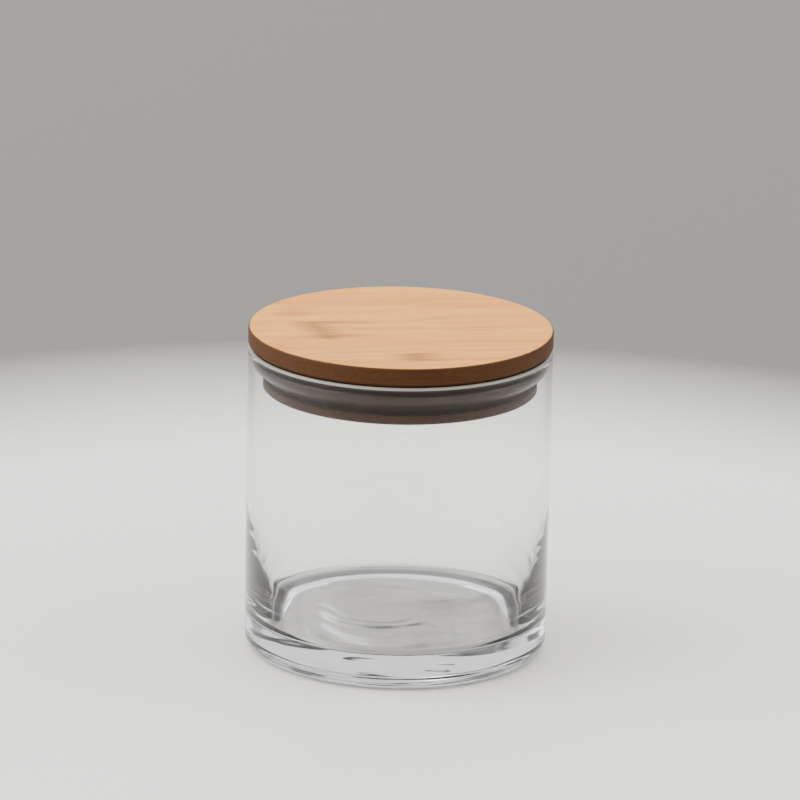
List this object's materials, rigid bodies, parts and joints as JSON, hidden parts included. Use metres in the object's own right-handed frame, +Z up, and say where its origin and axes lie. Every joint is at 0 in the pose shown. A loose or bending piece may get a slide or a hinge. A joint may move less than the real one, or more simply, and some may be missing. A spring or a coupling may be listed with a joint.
{
  "type": "storage jar",
  "caption": "Round glass canister with a heavy tapered base, closed by a push-in bamboo plug lid with a silicone seal ring.",
  "frame": {"origin": "centre of the jar's base, on the surface it stands on", "axes": "+Z up along the jar's axis, out of its mouth; -Y is the front; the grain of the lid's top ply runs 8 degrees from +X towards +Y"},
  "size_m": [0.1, 0.1, 0.1091],
  "materials": {
    "jar_glass": "clear glass, taken to be pressed soda-lime; the rim's finish isn't known",
    "seal_silicone": "satin translucent grey silicone",
    "lid_bamboo": "oiled, fine-sanded strip-laminated bamboo"
  },
  "bodies": {
    "jar": {"glass_jar": "jar_glass"},
    "seal": {"seal_ring": "seal_silicone"},
    "lid": {"lid_top_strip_1": "lid_bamboo", "lid_top_strip_2": "lid_bamboo", "lid_top_strip_3": "lid_bamboo", "lid_top_strip_4": "lid_bamboo", "lid_top_strip_5": "lid_bamboo", "lid_core_strip_1": "lid_bamboo", "lid_core_strip_2": "lid_bamboo", "lid_core_strip_3": "lid_bamboo", "lid_core_strip_4": "lid_bamboo", "lid_core_strip_5": "lid_bamboo", "lid_bottom_strip_1": "lid_bamboo", "lid_bottom_strip_2": "lid_bamboo", "lid_bottom_strip_3": "lid_bamboo", "lid_bottom_strip_4": "lid_bamboo", "lid_bottom_strip_5": "lid_bamboo"}
  },
  "joints": [
    {"name": "lid_lift", "type": "slide", "parent": "jar", "child": "seal", "axis": [0, 0, 1], "range_m": [0, 0.05]},
    {"name": "lid_turn", "type": "hinge", "parent": "seal", "child": "lid", "pos_m": [0, 0, 0.0957], "axis": [0, 0, 1], "continuous": true}
  ]
}
